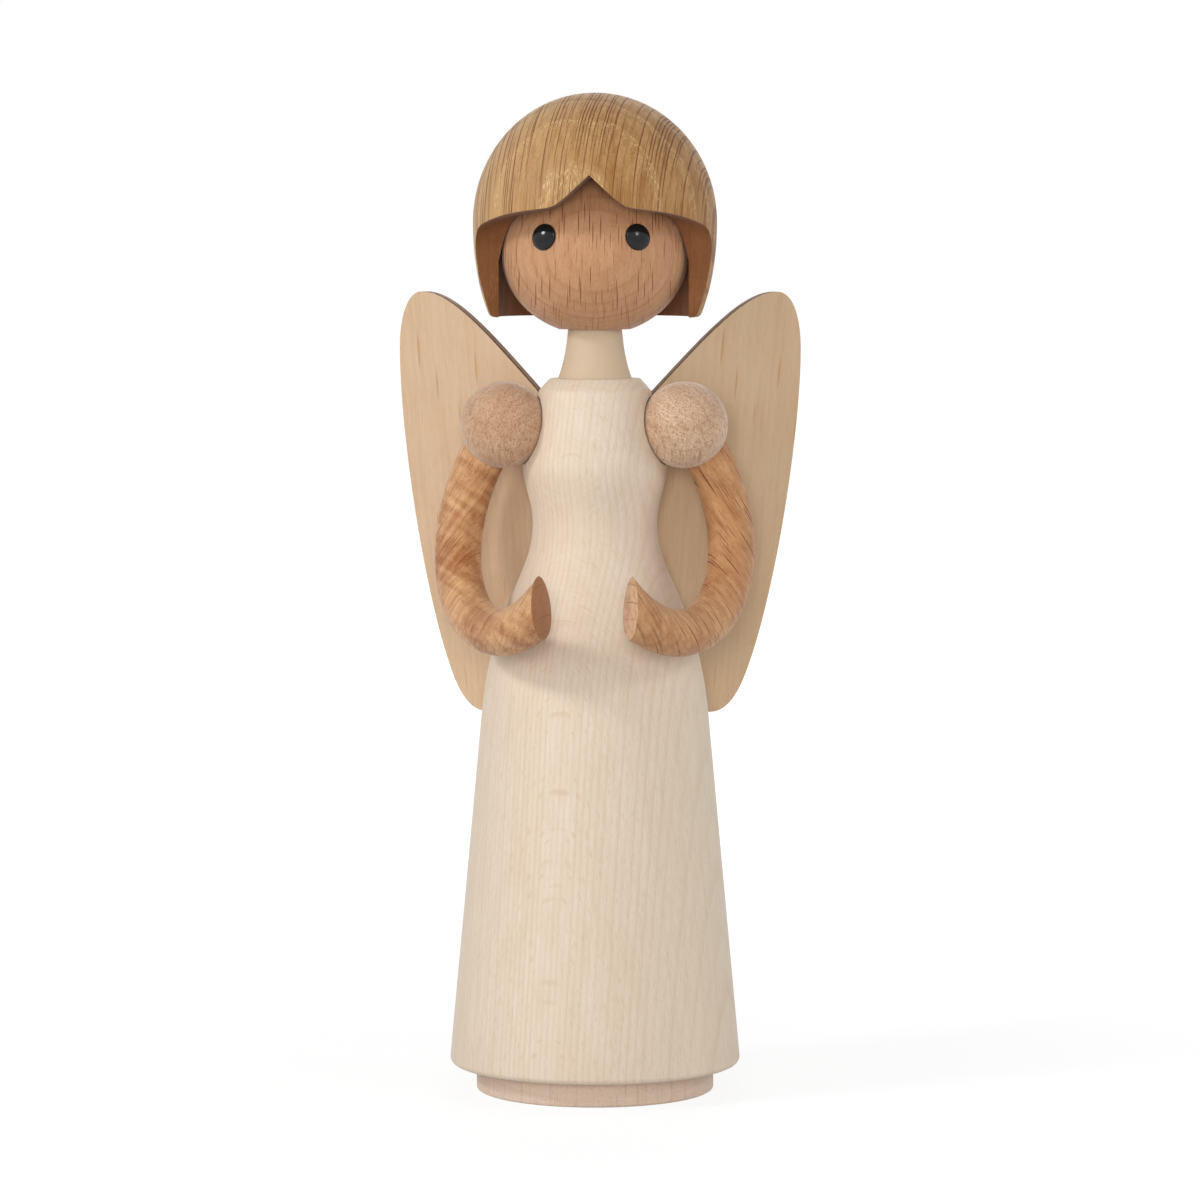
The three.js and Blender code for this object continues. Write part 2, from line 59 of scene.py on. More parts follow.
# Room round a piece in its seat, between faces that meet, and for a cutter past a face
GAP = 0.3 * MM
TOUCH = 0.03 * MM
PAST = 1 * MM


def wide(node):
    """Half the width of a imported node."""
    near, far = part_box(node)
    return (far.x - near.x) / 2


def low(node):
    """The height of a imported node's lowest point."""
    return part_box(node)[0].z


def high(node):
    """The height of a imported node's highest point."""
    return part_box(node)[1].z


def paint(code):
    """A linear colour from the usual six-digit code."""
    parts = [int(code[i:i + 2], 16) / 255 for i in (0, 2, 4)]
    return [c / 12.92 if c <= 0.04045 else ((c + 0.055) / 1.055) ** 2.4 for c in parts]


def length(label, note, millimetres):
    return FloatProperty(
        name=label, description=note, default=millimetres * MM, min=0, unit="LENGTH", precision=5)


def turn(label, note, degrees):
    return FloatProperty(name=label, description=note, default=math.radians(degrees), subtype="ANGLE")


def colour(label, note, code):
    return FloatVectorProperty(
        name=label, description=note, default=paint(code), size=3, min=0, max=1, subtype="COLOR")


class AngelBody(bpy.types.PropertyGroup):
    """Sizes of the foot, dress and neck."""
    foot_radius: length("Foot radius", "Radius of the foot disc", wide("foot_disc") / MM)
    foot_height: length("Foot height", "Thickness of the foot disc", 5)
    spigot_radius: length("Spigot radius", "Spigot of the foot inside the dress", 9)
    hem_radius: length("Hem radius", "Widest radius of the dress, at the hem", wide("dress") / MM)
    hem_round: length("Hem round", "Rounding of the hem", 1.3)
    skirt_height: length("Skirt height", "Straight part of the skirt above the hem", 70.5)
    skirt_radius: length("Skirt radius", "Radius where the skirt turns into the hip", 22.8)
    waist_radius: length("Waist radius", "Narrowest radius of the dress", 12.5)
    bust_height: length("Bust height", "From the waist to the bust", 12.4)
    bust_radius: length("Bust radius", "Radius at the bust", 14.4)
    chest_height: length("Chest height", "From the bust to the chamfer under the ledge", 14.2)
    chest_radius: length("Chest radius", "Radius at the top of the chest", 11.2)
    ledge_radius: length("Ledge radius", "Flat ledge round the neck", 9)
    neck_base: length("Neck base", "Radius of the neck at the ledge", 7.4)
    neck_top: length("Neck top", "Radius of the neck under the chin", 5.4)


class AngelHead(bpy.types.PropertyGroup):
    """Sizes of the head, eyes and hair cap."""
    head_radius: length("Head radius", "Radius of the ball head", wide("head") / MM)
    chin_radius: length("Chin radius", "Radius of the flat under the chin", 7.2)
    eye_radius: length("Eye radius", "Radius of a bead eye", 2.66)
    eye_dome: length("Eye dome", "How far a bead stands proud", 1.1)
    eye_spread: turn("Eye spread", "Turn of each eye away from the middle of the face", 30.5)
    eye_lift: turn("Eye lift", "Rise of each eye above the middle of the head", 11.5)
    hair_radius: length("Hair radius", "Widest radius of the hair cap", wide("hair_cap") / MM)
    hair_wall: length("Hair wall", "Thickness of the hair cap at its widest", 4.65)
    hair_hem_wall: length("Hair hem wall", "Thickness of the hair cap at its hem", 1.3)
    lock_front: length("Lock front", "Plane of the side locks, in front of the axis", 5.5)
    fringe_peak: length("Fringe peak", "Height of the parting above the middle of the head", 15.8)
    fringe_edge: length("Fringe edge", "Height of the fringe at its sides", 9.2)


class AngelLimbs(bpy.types.PropertyGroup):
    """Sizes of the shoulders, arms and wings."""
    ball_radius: length("Ball radius", "Radius of a shoulder ball", 8.65)
    shoulder_forward: turn("Shoulder forward", "Turn of each shoulder to the front", 10.6)
    ring_radius: length("Ring radius", "Radius of the ring that an arm is cut from", 23.6)
    rod_radius: length("Rod radius", "Radius of an arm's round section", 4.65)
    rod_facets: IntProperty(name="Rod facets", description="Facets round an arm", default=64, min=12)
    rod_steps: IntProperty(name="Rod steps", description="Steps along an arm", default=120, min=12)
    palm_turn: turn("Palm turn", "Turn of the flat palm cut", 19)
    wing_thickness: length("Wing thickness", "Thickness of a wing blade", 2.5)
    wing_sweep: turn("Wing sweep", "How far each wing is swept back", 23)
    wing_arris: length("Wing arris", "Rounding of the wing's edges", 0.22)
    wing_scorch: length("Wing scorch", "Depth of the scorched line behind the face of a wing", 0.8)


class AngelFinish(bpy.types.PropertyGroup):
    """Colours of the woods and the beads."""
    maple: colour("Maple", "Pale wood of the dress", "e6d8c6")
    maple_line: colour("Maple line", "Fine lines in the pale wood", "cfb494")
    neck: colour("Neck", "Warmer pale wood of the neck", "c7b49b")
    foot: colour("Foot", "Pinkish wood of the foot disc", "e3ccbc")
    beech: colour("Beech", "Wood of the head", "c79871")
    beech_deep: colour("Beech deep", "Darker tone of the head", "ac7850")
    beech_fleck: colour("Beech fleck", "Short dark rays in beech", "784526")
    left_ball: colour("Left shoulder", "Wood of the left shoulder ball", "e2c5a9")
    right_ball: colour("Right shoulder", "Wood of the right shoulder ball", "d5b293")
    ball_deep: colour("Shoulder deep", "Darker tone of the shoulder balls", "98683f")
    left_arm: colour("Left arm", "Wood of the left arm", "cb9b6d")
    right_arm: colour("Right arm", "Wood of the right arm", "d8a97a")
    # The palms are one end grain: the right palm's darker colour is partly painted shade and the left palm's
    # lighter colour partly painted light
    left_palm: colour("Left palm", "Cut palm of the left arm", "e0ba94")
    right_palm: colour("Right palm", "Cut palm of the right arm", "a9754b")
    arm_deep: colour("Arm deep", "Darker tone of the arms", "9c6134")
    oak: colour("Oak", "Wood of the hair cap", "bd9563")
    oak_deep: colour("Oak deep", "Darker tone of the hair cap", "93642f")
    oak_ray: colour("Oak ray", "Long dark rays of the hair cap", "693e17")
    oak_pore: colour("Oak pore", "Pale pores in the rings of the hair cap", "e6c894")
    # The cut faces are darker partly as cut wood and partly as painted shade of the recess under the fringe
    oak_cut_and_shade: colour("Oak cut", "Cut faces of the hair cap", "865432")
    # The left wing's colour is darker than the right wing's: painted shade for its side turned away from the
    # light
    left_wing: colour("Left wing", "Wood of the left wing", "d1b99c")
    right_wing: colour("Right wing", "Wood of the right wing", "d7bea2")
    wing_streak: colour("Wing streak", "Amber streaks in the wings", "b88c5c")
    wing_scorch: colour("Wing scorch", "Scorched line along the edges of the wings", "54361f")
    wing_edge: colour("Wing edge", "Sawn edges of the wings", "b0967e")
    birch: colour("Birch", "Dowels and pegs", "e4caa2")
    bead: colour("Bead", "Black of the eyes", "101113")


GROUPS = {
    "angel_body": AngelBody,
    "angel_head": AngelHead,
    "angel_limbs": AngelLimbs,
    "angel_finish": AngelFinish,
}

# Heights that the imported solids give
HEM_Z = low("dress")
LEDGE_Z = high("dress")
CHIN_Z = low("head")
HEAD_Z = high("head") - wide("head")
HAIR_HEM_Z = low("hair_cap")
HAIR_TOP_Z = high("hair_cap")

# Heights of the waist and of the shoulders on the dress
WAIST_Z = 114.3 * MM
SHOULDER_Z = WAIST_Z + 19.8 * MM

# Joinery that stays out of sight
TENON_RADIUS = 4 * MM
DOWEL_RADIUS = 2 * MM
BALL_SEAT = 3 * MM
PEG_STOP = 3.25 * MM
SOCKET_DEPTH = 2.8 * MM
ARM_DOWEL_RADIUS = 1.4 * MM
ARM_DOWEL_IN_BALL = 3 * MM
ARM_DOWEL_IN_ARM = 5 * MM
EYE_SEAT = 0.9 * MM
EYE_STEM = 4 * MM
EYE_STEM_RADIUS = 1.2 * MM
WING_ROOT_BACK = 3 * MM
TONGUE_INNER = 8 * MM
TONGUE_OUTER = 23 * MM
TONGUE_RISE = 21 * MM
TONGUE_DROP = 9 * MM

# How an arm's ring is turned at the ball, and where the ball and the palm lie on it
RING_TURN = math.radians(-113.5)
RING_TILT = math.radians(15)
BALL_ANGLE = math.radians(-139)
PALM_ANGLE = math.radians(39.6)


# Meshes
def bezier(points, steps):
    """Points along a curve of two, three or four control points, ends included."""
    degree = len(points) - 1
    weights = [math.comb(degree, k) for k in range(degree + 1)]
    made = []
    for i in range(steps + 1):
        t = i / steps
        blend = [w * t ** k * (1 - t) ** (degree - k) for k, w in enumerate(weights)]
        made.append(tuple(sum(b * p[axis] for b, p in zip(blend, points)) for axis in (0, 1)))
    return made


def arc(cx, cz, rx, rz, start, end, steps):
    """Points of an ellipse's arc, from one angle to another in degrees."""
    made = []
    for i in range(steps + 1):
        a = math.radians(start + (end - start) * i / steps)
        made.append((cx + rx * math.cos(a), cz + rz * math.sin(a)))
    return made


def between(start, end, across, up):
    """The point at these shares of the way from one point to another."""
    return (start[0] + (end[0] - start[0]) * across, start[1] + (end[1] - start[1]) * up)


def new_object(name, data):
    made = bpy.data.objects.new(name, data)
    bpy.context.scene.collection.objects.link(made)
    return made


def mesh_object(points, faces, place=None, name="piece"):
    """A mesh put in its place, with its faces outwards on a mirrored side too."""
    mesh = bpy.data.meshes.new(name)
    mesh.from_pydata(points, [], faces)
    if place is not None:
        mesh.transform(place)
        if place.determinant() < 0:
            mesh.flip_normals()
    mesh.update()
    return new_object(name, mesh)


def turned(profile, sides=160, place=None):
    """A closed turning about Z from (radius, height) points, which start and end on the axis."""
    points = []
    rings = []
    for radius, z in profile:
        count = sides if radius else 1
        rings.append(range(len(points), len(points) + count))
        for i in range(count):
            a = 2 * math.pi * i / sides
            points.append((radius * math.cos(a), radius * math.sin(a), z))
    faces = []
    for lower, upper in zip(rings, rings[1:]):
        for i in range(sides):
            j = (i + 1) % sides
            corners = [ring[k % len(ring)] for ring, k in ((lower, i), (lower, j), (upper, j), (upper, i))]
            faces.append(list(dict.fromkeys(corners)))
    return mesh_object(points, faces, place)


def hole(radius, start, end, place=None, sides=48, room=GAP):
    """A round cutter along Z, with room round the pin that it takes."""
    radius += room
    return turned([(0, start), (radius, start), (radius, end), (0, end)], sides, place)


def settle(made):
    """Applies a piece's modifiers and leaves a plain mesh."""
    graph = bpy.context.evaluated_depsgraph_get()
    mesh = bpy.data.meshes.new_from_object(made.evaluated_get(graph))
    made.modifiers.clear()
    old = made.data
    made.data = mesh
    bpy.data.meshes.remove(old)


def carve(made, *cutters):
    """Cuts the cutters out of a piece and clears them away."""
    for cutter in cutters:
        cut = made.modifiers.new("cut", "BOOLEAN")
        cut.object = cutter
        cut.operation = "DIFFERENCE"
        cut.solver = "EXACT"
        cut.material_mode = "TRANSFER"
    settle(made)
    for cutter in cutters:
        old = cutter.data
        bpy.data.objects.remove(cutter)
        bpy.data.meshes.remove(old)


def soften(made, width):
    """Rounds the sharp edges of a piece a little."""
    bevel = made.modifiers.new("arris", "BEVEL")
    bevel.width = width
    bevel.segments = 2
    bevel.limit_method = "ANGLE"
    bevel.angle_limit = math.radians(40)
    bevel.use_clamp_overlap = True
    settle(made)


def coat(made, *materials):
    """Gives a piece its materials, in place of any it has."""
    made.data.materials.clear()
    for material in materials:
        made.data.materials.append(material)


def fit(made, body, node, angle=32):
    """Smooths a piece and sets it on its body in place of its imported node."""
    made.name = node + "_turned"
    made.data.name = made.name
    made.data.polygons.foreach_set("use_smooth", [True] * len(made.data.polygons))
    made.data.set_sharp_from_angle(angle=math.radians(angle))
    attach(made, body)
    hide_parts(node)


def about(place, spin):
    """A place in the part's frame and a turn there, as one matrix."""
    return Matrix.Translation(place) @ spin.to_matrix().to_4x4()


def spun(about_z, about_x):
    """A turn about X and then about Z."""
    return Matrix.Rotation(about_z, 4, "Z") @ Matrix.Rotation(about_x, 4, "X")


def mirrored(matrix, side):
    """The same place on the figure's left or right side."""
    return matrix if side == "left" else Matrix.Diagonal((-1, 1, 1, 1)) @ matrix


# Nodes
class Tree:
    """Short calls that add and join nodes."""

    def __init__(self, tree):
        self.tree = tree

    def fill(self, node, inputs):
        """Sets or joins a node's inputs, by name or by number."""
        for key, value in dict(inputs).items():
            if isinstance(value, bpy.types.NodeSocket):
                self.tree.links.new(value, node.inputs[key])
            elif value is not None:
                node.inputs[key].default_value = value

    def add(self, kind, inputs=(), **settings):
        node = self.tree.nodes.new(kind)
        for key, value in settings.items():
            setattr(node, key, value)
        self.fill(node, inputs)
        return node

    def first(self, kind, *values, **settings):
        """The first output of a new node that takes its inputs in order."""
        return self.add(kind, enumerate(values), **settings).outputs[0]

    def math(self, operation, *values, clamp=False):
        return self.first("ShaderNodeMath", *values, operation=operation, use_clamp=clamp)

    def times(self, value, factor, clamp=False):
        return self.math("MULTIPLY", value, factor, clamp=clamp)

    def plus(self, value, factor, shift):
        """value times factor plus shift."""
        return self.math("MULTIPLY_ADD", value, factor, shift)

    def vector(self, x, y, z):
        return self.first("ShaderNodeCombineXYZ", x, y, z)

    def range(self, value, start, end, low_value=0.0, high_value=1.0):
        """A smooth step from the low value to the high one."""
        return self.first(
            "ShaderNodeMapRange", value, start, end, low_value, high_value, interpolation_type="SMOOTHSTEP")

    def noise(self, vector, scale=1.0, detail=2.0, rough=0.5):
        inputs = {"Vector": vector, "Scale": scale, "Detail": detail, "Roughness": rough}
        return self.add("ShaderNodeTexNoise", inputs).outputs[0]

    def mix(self, factor, first, second):
        return self.add("ShaderNodeMix", {0: factor, 6: first, 7: second}, data_type="RGBA").outputs[2]


def socket(tree, label, kind, in_out="INPUT"):
    """A new socket on a node group's face."""
    return tree.interface.new_socket(name=label, in_out=in_out, socket_type="NodeSocket" + kind)


def new_material(name):
    """A material, short calls for its nodes, and its shader."""
    made = bpy.data.materials.new(name)
    made.use_nodes = True
    return made, Tree(made.node_tree), made.node_tree.nodes["Principled BSDF"]


# The shared hardwood: sizes in millimetres, strengths and amounts as shares
WOOD_COLOURS = ("light", "deep", "ray", "pore")
WOOD_FIGURE = dict(
    pith=90.0, ring_spacing=1.5, ring_strength=0.3, ring_wave=1.0, streak=0.5, blotch=0.3,
    ray_width=0.5, ray_length=6.0, ray_amount=0.2, ray_strength=0.6,
    pore_width=0.3, pore_length=1.5, pore_amount=0.2, pore_strength=0.3, pore_in_rings=0.0,
    curl=0.0, lean=0.0)


def dashes(t, across, along, depth, width, span, amount):
    """A mask of slim spindles along the fibre, some longer and darker than others."""
    least = 0.35
    core = 0.35
    edge = 0.001
    sheet = "2D" if depth is None else "3D"
    spot = t.vector(t.math("DIVIDE", across, width), t.math("DIVIDE", along, span), depth)
    cells = t.add("ShaderNodeTexVoronoi", {"Vector": spot, "Scale": 1.0}, voronoi_dimensions=sheet)
    chance = t.add("ShaderNodeSeparateColor", {0: cells.outputs["Color"]}).outputs
    reach = t.times(amount, t.plus(chance[0], 1 - least, least))
    mask = t.range(cells.outputs["Distance"], t.times(reach, core), t.math("ADD", reach, edge), 1.0, 0.0)
    return t.times(mask, t.plus(chance[1], 1 - least, least))


def hardwood_tree():
    """One solid hardwood in millimetres: X runs along the rings, Y across them and Z along the fibre."""
    tree = bpy.data.node_groups.new("Hardwood", "ShaderNodeTree")
    socket(tree, "vector", "Vector")
    for label in WOOD_COLOURS:
        socket(tree, label, "Color")
    for label, default in WOOD_FIGURE.items():
        socket(tree, label, "Float").default_value = default
    for label, kind in (("colour", "Color"), ("height", "Float"), ("roughness", "Float")):
        socket(tree, label, kind, "OUTPUT")
    t = Tree(tree)
    given = t.add("NodeGroupInput").outputs
    x, y, z = t.add("ShaderNodeSeparateXYZ", {0: given["vector"]}).outputs

    def drift(by_x, by_y, by_z, **kind):
        """Noise about zero, with its own scale along each axis."""
        spot = t.vector(t.times(x, by_x), t.times(y, by_y), t.times(z, by_z))
        return t.math("SUBTRACT", t.noise(spot, **kind), 0.5)

    # Growth rings, slightly wavy about a far pith, each with its own strength
    wave = drift(0.07, 0.07, 0.015)
    depth = t.math("ADD", y, given["pith"])
    distance = t.math("SQRT", t.math("ADD", t.times(x, x), t.times(depth, depth)))
    turns = t.math("DIVIDE", t.plus(wave, given["ring_wave"], distance), given["ring_spacing"])
    part = t.math("FRACT", turns)
    late_start, late_end = 0.4, 0.93
    late = t.times(t.range(part, late_start, late_end), t.range(part, late_end, 1.0, 1.0, 0.0))
    lot = t.add("ShaderNodeTexWhiteNoise", {"W": t.math("FLOOR", turns)}, noise_dimensions="1D")
    faintest = 0.25
    late = t.times(late, t.plus(lot.outputs["Value"], 1 - faintest, faintest))
    ring = t.times(late, given["ring_strength"], clamp=True)
    early_start, early_end = 0.02, 0.34
    early = t.range(part, early_start, early_end, 1.0, 0.0)

    # Fibres, blotches and bands of curled fibre, which darken the tone
    streak = drift(1.1, 0.5, 0.035, detail=4, rough=0.65)
    fibre = drift(4.5, 4.5, 0.45, detail=3, rough=0.6)
    blotch = drift(0.11, 0.11, 0.05, detail=3)
    curl = t.range(drift(0.06, 0.06, 0.42, detail=1), -0.08, 0.12)
    fibre_share = 0.6
    middle_tone = 0.32
    tone = t.times(t.plus(fibre, fibre_share, streak), given["streak"])
    tone = t.plus(blotch, given["blotch"], tone)
    tone = t.plus(curl, given["curl"], tone)
    # A slope of tone across the rings; on the hair's outer wood it is painted shade on the side away from the
    # light
    tone = t.plus(x, given["lean"], tone)
    tone = t.math("ADD", tone, middle_tone, clamp=True)

    # Rays as sheets through the rings, and pores along the fibre
    ray_sway = 1.2
    swayed = t.plus(wave, ray_sway, x)
    ray = dashes(t, swayed, z, None, given["ray_width"], given["ray_length"], given["ray_amount"])
    ray = t.times(ray, given["ray_strength"], clamp=True)
    pore_depth = t.math("DIVIDE", y, given["pore_width"])
    pore = dashes(t, x, z, pore_depth, given["pore_width"], given["pore_length"], given["pore_amount"])
    where = t.add("ShaderNodeMix", {0: given["pore_in_rings"], 2: 1.0, 3: early}, data_type="FLOAT")
    pore = t.times(pore, t.times(where.outputs[0], given["pore_strength"]), clamp=True)

    tint = t.mix(tone, given["light"], given["deep"])
    for mask, mark in ((ring, "deep"), (ray, "ray"), (pore, "pore")):
        tint = t.mix(mask, tint, given[mark])
    marks = t.math("MAXIMUM", ray, pore)
    fibre_relief = 0.5
    fibre_rough, mark_rough = 0.16, 0.18
    t.add("NodeGroupOutput", {
        "colour": tint,
        "height": t.math("SUBTRACT", t.times(fibre, fibre_relief), marks),
        "roughness": t.plus(marks, mark_rough, t.times(fibre, fibre_rough))})
    return tree


def fibre_frame(centre, fibre, across):
    """The turn and shift that take a point in millimetres to a wood's own axes."""
    z = Vector(fibre).normalized()
    y = Vector(across)
    y = (y - z * y.dot(z)).normalized()
    turn_in = Matrix((y.cross(z), y, z))
    return turn_in.to_euler(), turn_in @ Vector(centre) / -MM


def wood(name, centre, fibre=(0, 0, 1), across=(0, -1, 0), rough=0.55, relief=0.04, sheen=0.12, **look):
    """A material cut from the shared hardwood, with its own colours and figure."""
    made, t, shader = new_material(name)
    spin, shift = fibre_frame(centre, fibre, across)
    mapping = t.add("ShaderNodeMapping", {
        "Vector": t.add("ShaderNodeTexCoord").outputs["Object"],
        "Scale": (1 / MM, 1 / MM, 1 / MM), "Rotation": spin, "Location": shift})
    grain = t.add("ShaderNodeGroup", node_tree=bpy.data.node_groups.get("Hardwood") or hardwood_tree())
    t.fill(grain, {"vector": mapping.outputs[0]})
    t.fill(grain, {key: (*value, 1) if key in WOOD_COLOURS else value for key, value in look.items()})
    bump = t.add("ShaderNodeBump", {
        "Strength": 0.6, "Distance": relief * MM, "Height": grain.outputs["height"]})
    t.fill(shader, {
        "Base Color": grain.outputs["colour"],
        "Roughness": t.math("ADD", grain.outputs["roughness"], rough, clamp=True),
        "Specular IOR Level": 0.4, "Sheen Weight": sheen, "Sheen Roughness": 0.45,
        "Normal": bump.outputs[0]})
    made.diffuse_color = (*look["light"], 1)
    return made


def maple(name, light, line, centre, **change):
    """A pale, close wood with fine lines."""
    look = dict(
        light=light, deep=line, ray=line, pore=line, ring_spacing=1.15, ring_strength=0.42,
        ring_wave=0.7, streak=0.65, blotch=0.3, ray_width=0.36, ray_length=4, ray_amount=0.32,
        ray_strength=0.45, pore_width=0.26, pore_length=1.6, pore_amount=0.6, pore_strength=0.32)
    return wood(name, centre, **{**look, **change})


def beech(name, light, deep, fleck, centre, **change):
    """A reddish wood with short dark flecks."""
    look = dict(
        light=light, deep=deep, ray=fleck, pore=fleck, ring_spacing=1.6, ring_strength=0.6,
        ring_wave=1.4, streak=1.4, blotch=0.5, ray_width=0.56, ray_length=13, ray_amount=0.28,
        ray_strength=1.1, pore_width=0.24, pore_length=1.4, pore_amount=0.6, pore_strength=0.34)
    return wood(name, centre, **{**look, **change})


def oak(name, light, deep, ray, pore, **change):
    """The hair's wood, with long dark rays and pale pores in its rings; its lean darkens it towards the
    figure's left as painted shade.
    """
    look = dict(
        light=light, deep=deep, ray=ray, pore=pore, ring_spacing=5.2, ring_strength=0.5,
        ring_wave=5, streak=2.3, blotch=0.9, ray_width=0.47, ray_length=52, ray_amount=0.46,
        ray_strength=1.5, pore_width=0.3, pore_length=1.5, pore_amount=0.75, pore_strength=0.7,
        pore_in_rings=1, lean=-0.02, fibre=(0.05, 0.14, 1), across=(-0.14, -1, 0.2), relief=0.07)
    return wood(name, (0, 0, HEAD_Z), **{**look, **change})


# Shapes and places shared by more than one piece
def ball_profile(radius, steps):
    return [(0, -radius), *arc(0, 0, radius, radius, -90, 90, steps)[1:-1], (0, radius)]


def dress_profile(body, grow=0.0):
    """The dress from its hem up to its ledge, grown a little where it is a cutter."""
    skirt_z = HEM_Z + body.skirt_height
    bust_z = WAIST_Z + body.bust_height
    chest_z = bust_z + body.chest_height
    skirt_lean = (body.hem_radius - body.skirt_radius) / (body.skirt_height - body.hem_round)
    chest_lean = (body.bust_radius - body.chest_radius) / body.chest_height
    hip_ease = 23 * MM
    waist_ease = 11 * MM
    bust_rise = body.bust_height * 0.38
    bust_round = body.bust_height * 0.25
    arris = 0.35 * MM
    slant = arris * 0.7
    edge = body.hem_round
    skirt_top = (body.skirt_radius, skirt_z)
    waist = (body.waist_radius, WAIST_Z)
    hem = arc(body.hem_radius - edge, HEM_Z + edge, edge, edge, -90, 0, 8)
    skirt = bezier([hem[-1], skirt_top], 6)[1:-1]
    hip = bezier([
        skirt_top, (body.skirt_radius - skirt_lean * hip_ease, skirt_z + hip_ease),
        (body.waist_radius, WAIST_Z - waist_ease), waist], 28)
    bust = bezier([
        waist, (body.waist_radius, WAIST_Z + bust_rise),
        (body.bust_radius + chest_lean * bust_round, bust_z - bust_round),
        (body.bust_radius, bust_z)], 16)[1:]
    chest = bezier([bust[-1], (body.chest_radius, chest_z)], 4)[1:-1]
    shoulder = bezier([
        (body.chest_radius + chest_lean * arris, chest_z - arris), (body.chest_radius, chest_z),
        (body.chest_radius - slant, chest_z + slant)], 4)
    ledge = bezier([
        (body.ledge_radius + slant, LEDGE_Z - slant), (body.ledge_radius, LEDGE_Z),
        (body.ledge_radius - arris, LEDGE_Z)], 4)
    outline = [(r + grow, z) for r, z in hem + skirt + hip + bust + chest + shoulder + ledge]
    return [(0, HEM_Z - grow), *outline, (0, LEDGE_Z + grow)]


def shoulder_place(body, limbs):
    """The middle of the left ball, with X running out of the body along its peg."""
    share = (SHOULDER_Z - WAIST_Z - body.bust_height) / body.chest_height
    chest = body.bust_radius + (body.chest_radius - body.bust_radius) * share
    reach = chest + limbs.ball_radius - BALL_SEAT
    spin = Euler((0, 0, -limbs.shoulder_forward))
    return about((reach * math.cos(spin.z), reach * math.sin(spin.z), SHOULDER_Z), spin)


def peg_place(body, limbs, side):
    """The middle of a ball, with Z running out of the body along its peg."""
    return mirrored(shoulder_place(body, limbs), side) @ Matrix.Rotation(QUARTER, 4, "Y")


def ring_place(body, limbs):
    """The middle of the left arm's ring, with the ring in its XY plane."""
    centre = Vector((-math.sin(BALL_ANGLE), 0, math.cos(BALL_ANGLE))) * limbs.ring_radius
    ring = about(centre, Euler((QUARTER, 0, 0)))
    return shoulder_place(body, limbs) @ spun(RING_TURN, RING_TILT) @ ring


def ring_spot(limbs, angle):
    """A point of the ring in its own plane, by its angle from straight down."""
    return Vector((math.sin(angle), -math.cos(angle), 0)) * limbs.ring_radius


def rod_start(limbs):
    """The ring angle at which the rod leaves the floor of its socket."""
    chord = limbs.ball_radius - SOCKET_DEPTH + GAP
    return BALL_ANGLE + 2 * math.asin(chord / 2 / limbs.ring_radius)


def rod_end_place(body, limbs, side):
    """The end of a rod in its socket, with Z running along the rod."""
    angle = rod_start(limbs)
    along = Vector((math.cos(angle), math.sin(angle), 0)).to_track_quat("Z", "Y")
    return mirrored(ring_place(body, limbs) @ about(ring_spot(limbs, angle), along), side)


def wing_place(limbs, side):
    """A wing's root at the height of the waist, with X running out along the blade."""
    return mirrored(about((0, WING_ROOT_BACK, WAIST_Z), Euler((0, 0, limbs.wing_sweep))), side)


def tongue_block(limbs, side, grow=0.0):
    """The tongue that a wing has inside the dress."""
    half = limbs.wing_thickness / 2 + grow
    points = [
        (x, y, z) for x in (TONGUE_INNER - grow, TONGUE_OUTER) for y in (-half, half)
        for z in (-TONGUE_DROP - grow, TONGUE_RISE + grow)]
    faces = [(0, 1, 3, 2), (4, 6, 7, 5), (0, 4, 5, 1), (2, 3, 7, 6), (0, 2, 6, 4), (1, 5, 7, 3)]
    return mesh_object(points, faces, wing_place(limbs, side))


def eye_place(head, side):
    """The point of the head under an eye's middle, with Z running out of the face."""
    out = spun(head.eye_spread, QUARTER - head.eye_lift) @ Matrix.Translation((0, 0, head.head_radius))
    return mirrored(Matrix.Translation((0, 0, HEAD_Z)) @ out, side)


class PieceOperator:
    """What every operator shares."""
    bl_options = {"REGISTER", "UNDO"}

    def execute(self, context):
        self.make(*[getattr(context.scene, group) for group in GROUPS])
        return {"FINISHED"}


class ANGEL_OT_foot(PieceOperator, bpy.types.Operator):
    """Turn the foot disc with its spigot"""
    bl_idname = "angel.foot"
    bl_label = "Foot Disc"

    def make(self, body, head, limbs, finish):
        arris = 0.6 * MM
        radius = body.foot_radius - arris
        height = body.foot_height
        top = high("foot_disc")
        made = turned([
            (0, 0), *arc(radius, arris, arris, arris, -90, 0, 6),
            *arc(radius, height - arris, arris, arris, 0, 90, 6),
            (body.spigot_radius, height), (body.spigot_radius, top), (0, top)])
        coat(made, beech(
            "foot_beech", finish.foot, finish.maple_line, finish.beech_fleck, (0, 0, 0), fibre=(1, 0.2, 0),
            across=(0, 0, 1), ring_strength=0.25, ray_width=0.4, ray_length=0.9, ray_amount=0.4,
            ray_strength=0.22, streak=0.7, blotch=0.4, pore_length=0.7, pore_strength=0.3))
        fit(made, "body", "foot_disc")


